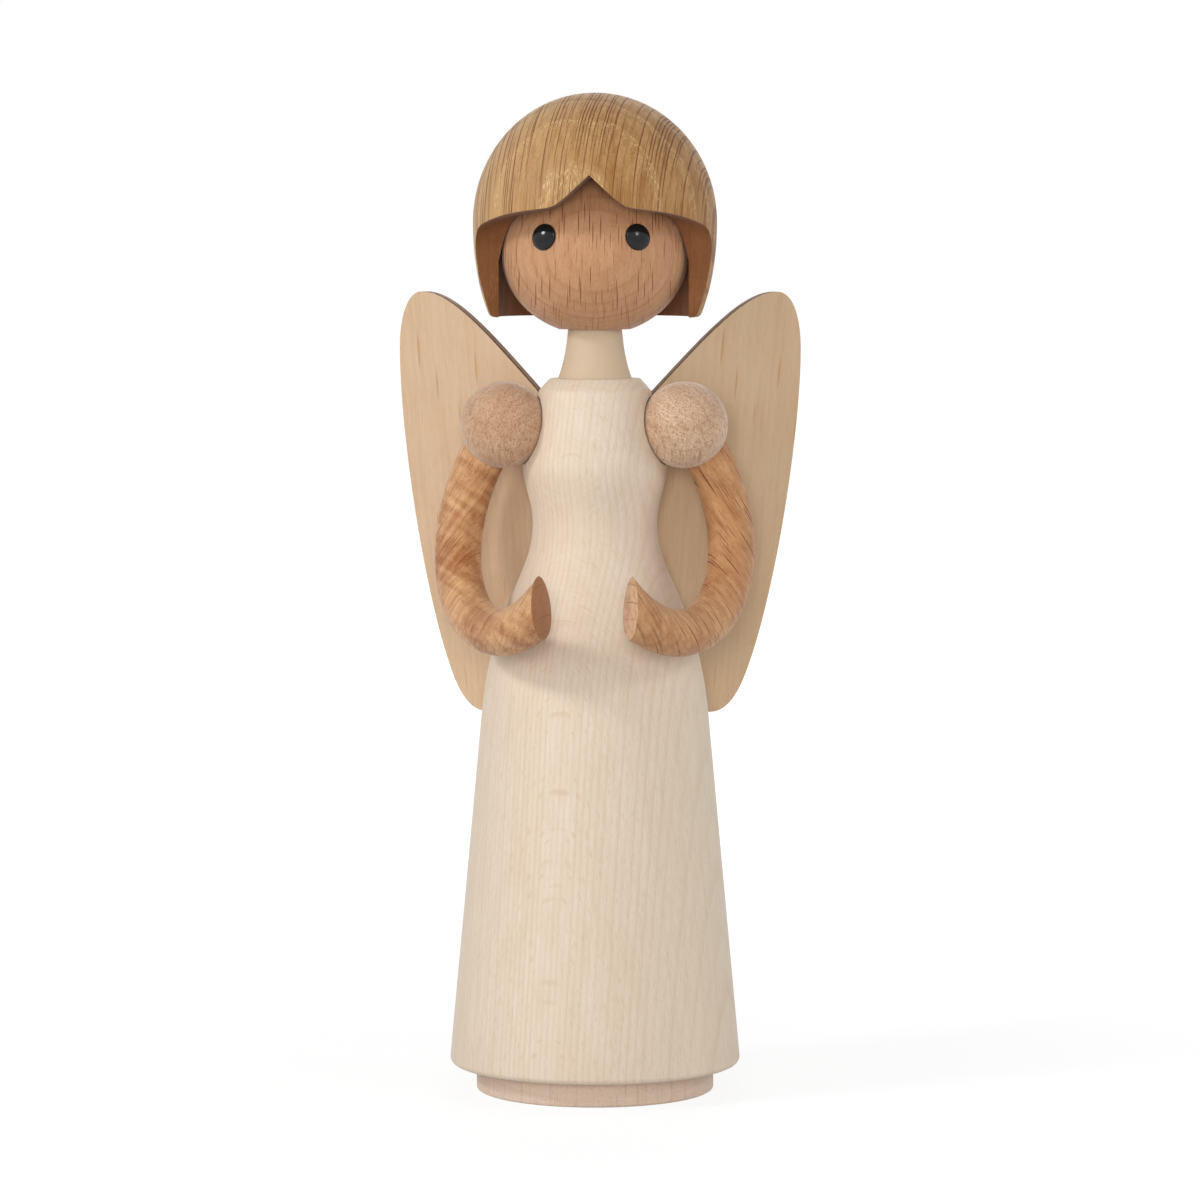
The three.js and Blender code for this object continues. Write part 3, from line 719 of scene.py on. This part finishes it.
class ANGEL_OT_dress(PieceOperator, bpy.types.Operator):
    """Turn the dress and cut the seats for its joinery"""
    bl_idname = "angel.dress"
    bl_label = "Dress"

    def make(self, body, head, limbs, finish):
        made = turned(dress_profile(body))
        coat(made, maple(
            "dress_maple", finish.maple, finish.maple_line, (0, 0, WAIST_Z), fibre=(0.01, 0.02, 1),
            across=(0.96, -0.28, 0)))
        cutters = [
            hole(body.spigot_radius, 0, high("foot_disc") + GAP),
            hole(TENON_RADIUS, low("neck") - GAP, LEDGE_Z + PAST)]
        seat = ball_profile(limbs.ball_radius + GAP, 40)
        for side in SIGNS:
            peg_end = wide(side + "_shoulder_peg") * 2 + limbs.ball_radius
            cutters += [
                turned(seat, 80, mirrored(shoulder_place(body, limbs), side)),
                hole(DOWEL_RADIUS, -peg_end, 0, peg_place(body, limbs, side)),
                tongue_block(limbs, side, GAP)]
        carve(made, *cutters)
        fit(made, "body", "dress")


class ANGEL_OT_neck(PieceOperator, bpy.types.Operator):
    """Turn the flared neck with its tenon"""
    bl_idname = "angel.neck"
    bl_label = "Neck"

    def make(self, body, head, limbs, finish):
        base = LEDGE_Z + TOUCH
        top = CHIN_Z - TOUCH
        bend = (5.9 * MM, base + 3.7 * MM)
        flare = bezier([(body.neck_base, base), bend, (body.neck_top, top)], 24)
        foot = low("neck")
        heart = (8 * MM, 0, LEDGE_Z)
        made = turned([(0, foot), (TENON_RADIUS, foot), (TENON_RADIUS, base), *flare, (0, top)])
        coat(made, maple(
            "neck_maple", finish.neck, finish.maple_line, heart, ring_spacing=1.6, ray_width=0.3,
            ray_length=1.6, ray_strength=0.7, streak=0.8))
        carve(made, hole(DOWEL_RADIUS, low("neck_dowel") - GAP, CHIN_Z + PAST))
        fit(made, "body", "neck")


class ANGEL_OT_head(PieceOperator, bpy.types.Operator):
    """Turn the ball head with its eye recesses"""
    bl_idname = "angel.head"
    bl_label = "Head"

    def make(self, body, head, limbs, finish):
        radius = head.head_radius
        drop = HEAD_Z - CHIN_Z
        depth = drop / math.sqrt(1 - (head.chin_radius / radius) ** 2)
        chin_angle = -math.degrees(math.asin(drop / depth))
        lower = arc(0, HEAD_Z, radius, depth, chin_angle, 0, 28)
        upper = arc(0, HEAD_Z, radius, radius, 0, 90, 32)[1:-1]
        heart = (0, 0, HEAD_Z - 4 * MM)
        made = turned([(0, CHIN_Z), *lower, *upper, (0, high("head"))])
        coat(made, beech(
            "head_beech", finish.beech, finish.beech_deep, finish.beech_fleck, heart, fibre=(0, 0.02, 1),
            across=(0.05, -1, 0.1), pith=93.7, ring_strength=0.8))
        stem_end = EYE_SEAT + EYE_STEM + GAP
        cutters = [hole(DOWEL_RADIUS, CHIN_Z - PAST, high("neck_dowel") + GAP)]
        for side in SIGNS:
            place = eye_place(head, side)
            cutters += [
                hole(head.eye_radius, -EYE_SEAT, PAST, place, 64, TOUCH),
                hole(EYE_STEM_RADIUS, -stem_end, 0, place)]
        carve(made, *cutters)
        fit(made, "head", "head")


class ANGEL_OT_eyes(PieceOperator, bpy.types.Operator):
    """Turn the two bead eyes on their stems"""
    bl_idname = "angel.eyes"
    bl_label = "Eyes"

    def make(self, body, head, limbs, finish):
        bead, t, shader = new_material("black_bead")
        spot = t.add("ShaderNodeTexCoord").outputs["Object"]
        cloud = t.noise(spot, scale=900, detail=3)
        smear = t.noise(spot, scale=2600)
        worn = (0.012, 0.012, 0.014, 1)
        clear, smeared = 0.12, 0.18
        t.fill(shader, {
            "Base Color": t.mix(cloud, (*finish.bead, 1), worn),
            "Roughness": t.range(smear, 0.3, 0.7, clear, smeared), "IOR": 1.36})
        seat = GAP - EYE_SEAT
        dome = arc(0, 0, head.eye_radius, head.eye_dome, 0, 90, 16)[:-1]
        profile = [
            (0, seat - EYE_STEM), (EYE_STEM_RADIUS, seat - EYE_STEM), (EYE_STEM_RADIUS, seat),
            (head.eye_radius, seat), *dome, (0, head.eye_dome)]
        for side in SIGNS:
            made = turned(profile, 64, eye_place(head, side))
            coat(made, bead)
            fit(made, "head", side + "_eye")


class ANGEL_OT_hair(PieceOperator, bpy.types.Operator):
    """Turn the hair cap, bore it out and cut the fringe"""
    bl_idname = "angel.hair"
    bl_label = "Hair Cap"

    def fringe(self, head, x):
        """The height of the fringe above the middle of the head, at a place across the face."""
        side_drop = 1.7 * MM
        side = 20 * MM
        slope = 0.97
        blend = 1.6 * MM
        edge = head.fringe_edge - side_drop * (x / side) ** 4
        peak = head.fringe_peak - slope * abs(x)
        return (edge + peak + math.hypot(edge - peak, blend)) / 2

    def window(self, head):
        """The block cut away before the face, with its hollow at the side locks."""
        half = head.hair_radius + PAST
        depth = half - head.lock_front
        fillet = 5 * MM
        fall = 0.045
        columns, rows = 160, 48
        points = []
        for level in (0, 1):
            for j in range(rows + 1):
                back = depth * j / rows
                into = min(max(back - depth + fillet, 0), fillet)
                hollow = fillet - math.sqrt(fillet ** 2 - into ** 2)
                for i in range(columns + 1):
                    x = half * (2 * i / columns - 1)
                    top = HEAD_Z + self.fringe(head, x) - fall * back - hollow
                    points.append((x, back - half, top if level else HAIR_HEM_Z - PAST))
        step = columns + 1
        sheet = step * (rows + 1)
        faces = []
        for j in range(rows):
            for a in range(j * step, j * step + columns):
                faces.append((a, a + step, a + step + 1, a + 1))
                faces.append((sheet + a, sheet + a + 1, sheet + a + step + 1, sheet + a + step))
        rim = [
            *range(columns), *range(columns, sheet - 1, step),
            *range(sheet - 1, sheet - step, -1), *range(sheet - step, 0, -step)]
        faces += [(a, b, sheet + b, sheet + a) for a, b in zip(rim, rim[1:] + rim[:1])]
        return mesh_object(points, faces)

    def make(self, body, head, limbs, finish):
        bore = head.hair_radius - head.hair_wall
        bore_top = HEAD_Z - 1.1 * MM
        dome_start = 14
        sides = 192
        widest = HEAD_Z + 6.6 * MM
        hem_ease = 8 * MM
        hem_flat = 0.4 * MM
        belly = bezier([
            (bore + head.hair_hem_wall, HAIR_HEM_Z), (head.hair_radius, HAIR_HEM_Z + hem_ease),
            (head.hair_radius, widest)], 40)
        corner = bezier([(bore + hem_flat, HAIR_HEM_Z), belly[0], belly[2]], 6)
        crown = arc(0, widest, head.hair_radius, HAIR_TOP_Z - widest, 0, 90, 36)[1:-1]
        made = turned([(0, HAIR_HEM_Z), *corner, *belly[3:], *crown, (0, HAIR_TOP_Z)], sides)
        coat(made, oak("hair_oak", finish.oak, finish.oak_deep, finish.oak_ray, finish.oak_pore))
        # The darker wood of the cut faces is partly painted shade of the window under the fringe
        cut = oak(
            "hair_oak_cut", finish.oak_cut_and_shade, finish.oak_ray, finish.oak_ray, finish.oak_deep, rough=0.7,
            blotch=1.5, streak=1, ray_strength=0.5, lean=0.012)
        dome = head.head_radius + GAP
        inner = arc(0, HEAD_Z, dome, dome, dome_start, 90, 24)[:-1]
        mouth = HAIR_HEM_Z - PAST
        cavity = turned([(0, mouth), (bore, mouth), (bore, bore_top), *inner, (0, HEAD_Z + dome)], sides)
        window = self.window(head)
        coat(cavity, cut)
        coat(window, cut)
        carve(made, cavity, window)
        fit(made, "head", "hair_cap", 28)


class ANGEL_OT_shoulders(PieceOperator, bpy.types.Operator):
    """Turn the shoulder balls and bore their sockets"""
    bl_idname = "angel.shoulders"
    bl_label = "Shoulder Balls"

    def make(self, body, head, limbs, finish):
        radius = limbs.ball_radius
        for side, sign in SIGNS.items():
            place = mirrored(shoulder_place(body, limbs), side)
            made = turned(ball_profile(radius, 48), 96, place)
            coat(made, beech(
                side + "_ball_beech", getattr(finish, side + "_ball"), finish.ball_deep, finish.ball_deep,
                place.translation, fibre=(0.6 * sign, -0.5, -0.62), across=(0.2 * sign, -0.8, 0.5),
                ring_strength=0.15, ring_spacing=2.1, ray_width=0.36, ray_length=0.75, ray_amount=0.5,
                ray_strength=0.7, pore_width=0.3, pore_length=0.6, pore_amount=0.7, pore_strength=0.85,
                streak=0.8, blotch=0.9, sheen=0.35))
            rod = rod_end_place(body, limbs, side)
            carve(
                made, hole(DOWEL_RADIUS, -2 * radius, GAP - PEG_STOP, peg_place(body, limbs, side)),
                hole(limbs.rod_radius, -GAP, radius, rod, 64),
                hole(ARM_DOWEL_RADIUS, -ARM_DOWEL_IN_BALL - GAP, radius, rod))
            fit(made, side + "_arm", side + "_shoulder_ball")


def bent_rod_tree():
    """A round rod swept along a ring's arc, put in place and cut by the palm's block."""
    tree = bpy.data.node_groups.new("Bent Rod", "GeometryNodeTree")
    tree.is_modifier = True
    inputs = {
        "Float": ("Ring Radius", "Rod Radius", "Start", "Sweep", "Palm Block"),
        "Int": ("Steps", "Facets"),
        "Vector": ("Place", "Turn", "Palm Place", "Palm Turn"),
        "Material": ("Material",),
    }
    for kind, labels in inputs.items():
        for label in labels:
            socket(tree, label, kind)
    socket(tree, "Geometry", "Geometry", "OUTPUT")
    t = Tree(tree)
    given = t.add("NodeGroupInput").outputs

    def moved(node, place, spin):
        mesh = node.outputs["Mesh"]
        where = {"Geometry": mesh, "Translation": given[place], "Rotation": given[spin]}
        return t.add("GeometryNodeTransform", where).outputs[0]

    path = t.add("GeometryNodeCurveArc", {
        "Resolution": given["Steps"], "Radius": given["Ring Radius"],
        "Start Angle": given["Start"], "Sweep Angle": given["Sweep"]}, mode="RADIUS")
    section = t.add("GeometryNodeCurvePrimitiveCircle", {
        "Resolution": given["Facets"], "Radius": given["Rod Radius"]}, mode="RADIUS")
    rod = t.add("GeometryNodeCurveToMesh", {
        "Curve": path.outputs["Curve"], "Profile Curve": section.outputs["Curve"], "Fill Caps": True})
    size = given["Palm Block"]
    cube = t.add("GeometryNodeMeshCube", {"Size": t.vector(size, size, size)})
    cut = t.add("GeometryNodeMeshBoolean", {
        "Mesh 1": moved(rod, "Place", "Turn"), "Mesh 2": moved(cube, "Palm Place", "Palm Turn")},
        operation="DIFFERENCE", solver="EXACT")
    real = t.first("GeometryNodeRealizeInstances", cut.outputs[0])
    coated = t.add("GeometryNodeSetMaterial", {"Geometry": real, "Material": given["Material"]})
    t.add("NodeGroupOutput", {"Geometry": coated.outputs[0]})
    return tree


def set_inputs(modifier, values):
    """Sets a node modifier's inputs by their identifiers."""
    for item in modifier.node_group.interface.items_tree:
        if item.in_out == "INPUT" and item.name in values:
            modifier[item.identifier] = values[item.name]


class ANGEL_OT_arms(PieceOperator, bpy.types.Operator):
    """Bend the arms along their ring and cut the palms"""
    bl_idname = "angel.arms"
    bl_label = "Arms"

    def make(self, body, head, limbs, finish):
        tree = bent_rod_tree()
        start = rod_start(limbs)
        trim = 10 * MM / limbs.ring_radius
        size = 4 * limbs.ring_radius
        arris = 0.25 * MM
        flip = Matrix.Diagonal((1, 1, -1, 1))
        ray_strength = {"left": 1.3, "right": 0.55}
        curl = {"left": 0.1, "right": 0.4}
        for side, sign in SIGNS.items():
            ring = ring_place(body, limbs)
            palm = ring @ ring_spot(limbs, PALM_ANGLE)
            palm.x *= sign
            spin = Euler((0, 0, sign * limbs.palm_turn))
            inward = spin.to_matrix() @ Vector((-sign, 0, 0))
            if side == "right":
                ring = mirrored(ring, side) @ flip
            figure = dict(
                fibre=(0.6 * sign, -0.15, -0.8), across=(0.3 * sign, -0.9, 0), ring_strength=0.35,
                ring_spacing=2.6, ray_width=0.55, ray_length=15, ray_amount=0.3, streak=1.6, blotch=1.3)
            grain = beech(
                side + "_arm_beech", getattr(finish, side + "_arm"), finish.arm_deep, finish.beech_fleck,
                ring.translation, ray_strength=ray_strength[side], curl=curl[side], **figure)
            # The palm colours are partly painted: shade on the right palm and light on the left palm
            end_grain = beech(
                side + "_palm_beech", getattr(finish, side + "_palm"), finish.arm_deep, finish.beech_fleck,
                palm, ray_strength=0.5, rough=0.65, **figure)
            made = mesh_object([], [])
            rod = made.modifiers.new("rod", "NODES")
            rod.node_group = tree
            set_inputs(rod, {
                "Ring Radius": limbs.ring_radius, "Rod Radius": limbs.rod_radius,
                "Start": start - QUARTER, "Sweep": PALM_ANGLE + trim - start,
                "Steps": limbs.rod_steps, "Facets": limbs.rod_facets,
                "Place": ring.translation, "Turn": Vector(ring.to_euler()),
                "Palm Place": palm + inward * size / 2, "Palm Turn": Vector(spin), "Palm Block": size,
                "Material": grain})
            settle(made)
            depth = ARM_DOWEL_IN_ARM + GAP
            carve(made, hole(ARM_DOWEL_RADIUS, -PAST, depth, rod_end_place(body, limbs, side)))
            soften(made, arris)
            coat(made, grain, end_grain)
            self.mark_palm(made.data, palm, inward)
            fit(made, side + "_arm", side + "_arm")

    def mark_palm(self, mesh, palm, inward):
        """Sets the end grain on the flat palm and the long grain on the rest of the arm."""
        square = 0.98
        close = 0.02 * MM
        for polygon in mesh.polygons:
            flat = polygon.normal.dot(inward) > square and abs((polygon.center - palm).dot(inward)) < close
            polygon.material_index = 1 if flat else 0


class ANGEL_OT_wings(PieceOperator, bpy.types.Operator):
    """Saw the wing blades and scribe them to the dress"""
    bl_idname = "angel.wings"
    bl_label = "Wings"

    def outline(self):
        """The blade in its own plane: reach from the axis and height above the waist, in curved runs."""
        axis = (0, 23.2 * MM)
        root = (TONGUE_INNER, 21.7 * MM)
        apex = (38.8 * MM, 46 * MM)
        outer = (43.9 * MM, 34.2 * MM)
        lower = (32.8 * MM, -29.3 * MM)
        tip = (24.4 * MM, -39.1 * MM)
        runs = (
            (axis, apex, 36, (0.58, 0.57), (0.81, 1)), (apex, outer, 24, (0.62, 0), (1, 0.4)),
            (outer, lower, 40, (0, 0.26), (0.47, 0.756)), (lower, tip, 20, (0.28, 0.68), (0.6, 1)))
        edge = [root]
        for start, end, steps, *shares in runs:
            pulls = [between(start, end, *share) for share in shares]
            edge += bezier([edge[-1], *pulls, end], steps)[1:]
        inner = bezier([tip, (tip[0] * 0.8, tip[1]), (tip[0] * 0.72, lower[1])], 12)
        return edge + inner[1:] + [(TONGUE_INNER, -TONGUE_DROP)]

    def make(self, body, head, limbs, finish):
        edge = self.outline()
        half = limbs.wing_thickness / 2
        scorch_back = half - limbs.wing_scorch
        points = [(x, y, z) for y in (-half, -scorch_back, half) for x, z in edge]
        count = len(edge)
        faces = [tuple(range(count - 1, -1, -1)), tuple(range(2 * count, 3 * count))]
        for first in (0, count):
            for i in range(count):
                a, b = first + i, first + (i + 1) % count
                faces.append((a, b, b + count, a + count))
        for side, sign in SIGNS.items():
            place = wing_place(limbs, side)
            front = place.to_3x3() @ Vector((0, -1, 0))
            heart = place @ Vector((30 * MM, 0, 0))
            made = mesh_object(points, faces, place)
            streak = finish.wing_streak
            # The left wing's darker colour is painted shade
            blade = wood(
                side + "_wing_alder", heart, (0.1 * sign, 0, 1), front, light=getattr(finish, side + "_wing"),
                deep=streak, ray=streak, pore=streak, ring_spacing=4, ring_strength=0.12,
                streak=0.6, blotch=0.4, ray_width=3.2, ray_length=44, ray_amount=0.11, ray_strength=0.8,
                pore_width=0.25, pore_length=4, pore_amount=0.5, pore_strength=0.3)
            sawn = dict(
                across=front, rough=0.75, pith=60, deep=finish.beech_fleck, ray=streak, pore=finish.oak_ray,
                ring_strength=0.2, streak=1.2, blotch=1.2, ray_width=0.8, ray_length=1.2, ray_amount=0.4,
                ray_strength=0.35)
            scorch = wood(side + "_wing_scorch", heart, light=finish.wing_scorch, **sawn)
            coat(made, blade, scorch, wood(side + "_wing_edge", heart, light=finish.wing_edge, **sawn))
            cutter = turned(dress_profile(body, GAP))
            carve(cutter, tongue_block(limbs, side))
            carve(made, cutter)
            soften(made, limbs.wing_arris)
            self.mark_edges(made.data, front, place.translation.dot(front) + scorch_back)
            fit(made, "body", side + "_wing", 30)

    def mark_edges(self, mesh, front, scorch_back):
        """Sets plain wood on the two faces, and scorched and sawn wood on the edge between them."""
        square = 0.9
        for polygon in mesh.polygons:
            if abs(polygon.normal.dot(front)) > square:
                polygon.material_index = 0
            else:
                polygon.material_index = 1 if polygon.center.dot(front) > scorch_back else 2


class ANGEL_OT_dowels(PieceOperator, bpy.types.Operator):
    """Give the hidden dowels and pegs their birch"""
    bl_idname = "angel.dowels"
    bl_label = "Dowels and Pegs"

    def make(self, body, head, limbs, finish):
        birch = maple("dowel_birch", finish.birch, finish.maple_line, (0, 0, 0))
        names = ["neck_dowel"]
        for side in SIGNS:
            names += [side + "_shoulder_peg", side + "_arm_dowel"]
        for name in names:
            coat(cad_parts[name], birch)


# Lamps: turn to a side and rise in degrees, distance and size in metres, level, and whether gloss shows it
LAMPS = {
    "key": (-40, 13, 1.4, 0.5, 0.1, False),
    "front": (0, 9, 1.5, 0.5, 0.37, False),
    "left": (-80, 12, 1.4, 0.9, 0.05, False),
    "right": (98, 12, 1.4, 0.9, 0.22, False),
    "back": (180, 25, 1.4, 0.9, 0.24, False),
    "left_glint": (-60, 33, 1.3, 0.25, 0.33, True),
    "right_glint": (48, 30, 1.3, 0.2, 0.1, True),
}


class ANGEL_OT_stage(PieceOperator, bpy.types.Operator):
    """Set the floor, the studio lights and the camera"""
    bl_idname = "angel.stage"
    bl_label = "Stage"

    def make(self, body, head, limbs, finish):
        self.floor()
        self.world()
        for name, settings in LAMPS.items():
            self.lamp(name, *settings)
        self.camera()

    def lamp(self, name, side, rise, reach, size, level, glint):
        """A round soft light that gives a white card facing it this level."""
        middle = Vector((0, 0, 0.11))
        aim = Euler((math.radians(-rise), 0, math.radians(side))).to_matrix() @ Vector((0, reach, 0))
        light = bpy.data.lights.new(name, "AREA")
        light.shape = "DISK"
        light.size = size
        light.energy = level * (math.pi * reach) ** 2
        made = new_object(name, light)
        made.location = middle - aim
        made.rotation_euler = aim.to_track_quat("-Z", "Y").to_euler()
        made.visible_glossy = glint

    def seen(self, t):
        """1 for the rays that show the background itself."""
        path = t.add("ShaderNodeLightPath").outputs
        shown = t.math("MAXIMUM", path["Is Camera Ray"], path["Is Glossy Ray"])
        return t.math("MAXIMUM", shown, path["Is Transmission Ray"])

    def floor(self):
        """A white floor that keeps a faint shadow and runs out to the white behind it."""
        half = 6.0
        corners = [(-half, -half, 0), (half, -half, 0), (half, half, 0), (-half, half, 0)]
        made = mesh_object(corners, [(0, 1, 2, 3)], name="floor")
        paper, t, shader = new_material("white_floor")
        shown = self.seen(t)
        bounce = (0.65, 0.65, 0.65, 1)
        shadowed = (0.2, 0.2, 0.2, 1)
        spot = t.add("ShaderNodeTexCoord").outputs["Object"]
        away = t.add("ShaderNodeVectorMath", {0: spot}, operation="LENGTH")
        near, far, near_glow = 0.06, 0.35, 0.85
        glow = t.range(away.outputs["Value"], near, far, near_glow, 1.0)
        t.fill(shader, {
            "Base Color": t.mix(shown, bounce, shadowed), "Roughness": 1, "Specular IOR Level": 0,
            "Emission Color": (1, 1, 1, 1), "Emission Strength": t.times(shown, glow)})
        coat(made, paper)

    def world(self):
        """A soft white room, a little darker overhead."""
        sky = bpy.data.worlds.new("studio")
        sky.use_nodes = True
        t = Tree(sky.node_tree)
        direction = t.add("ShaderNodeTexCoord").outputs["Generated"]
        up = t.add("ShaderNodeSeparateXYZ", {0: direction}).outputs["Z"]
        side_level, top_level = 0.33, 0.24
        soft = t.range(up, 0.0, 0.8, side_level, top_level)
        t.fill(sky.node_tree.nodes["Background"], {
            "Color": (1, 1, 1, 1), "Strength": t.math("MAXIMUM", self.seen(t), soft)})
        bpy.context.scene.world = sky
        bpy.context.scene.view_settings.view_transform = "Standard"

    def camera(self):
        """The photograph's view: a long lens from the front, a little above and to the figure's left."""
        yaw = math.radians(3.0)
        aside = 0.001
        dip = math.radians(4.403)
        reach = 1.0004
        height = 0.1758
        lens = bpy.data.cameras.new("camera")
        lens.lens = 150
        lens.sensor_width = 36
        made = new_object("camera", lens)
        made.location = (reach * math.sin(yaw), -reach * math.cos(yaw), height)
        made.rotation_euler = (QUARTER - dip, 0, yaw - aside)
        bpy.context.scene.camera = made


OPERATORS = (
    ANGEL_OT_stage, ANGEL_OT_foot, ANGEL_OT_dress, ANGEL_OT_neck, ANGEL_OT_head, ANGEL_OT_eyes, ANGEL_OT_hair,
    ANGEL_OT_shoulders, ANGEL_OT_arms, ANGEL_OT_wings, ANGEL_OT_dowels)


class ANGEL_PT_panel(bpy.types.Panel):
    """The steps that build the angel, in order"""
    bl_idname = "ANGEL_PT_panel"
    bl_label = "Wooden Angel"
    bl_space_type = "VIEW_3D"
    bl_region_type = "UI"
    bl_category = "Angel"

    def draw(self, context):
        for step in OPERATORS:
            self.layout.operator(step.bl_idname)
        for group, kind in GROUPS.items():
            box = self.layout.box()
            for key in kind.__annotations__:
                box.prop(getattr(context.scene, group), key)


CLASSES = (*GROUPS.values(), *OPERATORS, ANGEL_PT_panel)


def register():
    for item in CLASSES:
        bpy.utils.register_class(item)
    for group, kind in GROUPS.items():
        setattr(bpy.types.Scene, group, PointerProperty(type=kind))


def unregister():
    for group in GROUPS:
        delattr(bpy.types.Scene, group)
    for item in reversed(CLASSES):
        bpy.utils.unregister_class(item)


def main():
    register()
    bpy.ops.angel.stage()
    bpy.ops.angel.foot()
    bpy.ops.angel.dress()
    bpy.ops.angel.neck()
    bpy.ops.angel.head()
    bpy.ops.angel.eyes()
    bpy.ops.angel.hair()
    bpy.ops.angel.shoulders()
    bpy.ops.angel.arms()
    bpy.ops.angel.wings()
    bpy.ops.angel.dowels()


if __name__ == "__main__":
    main()
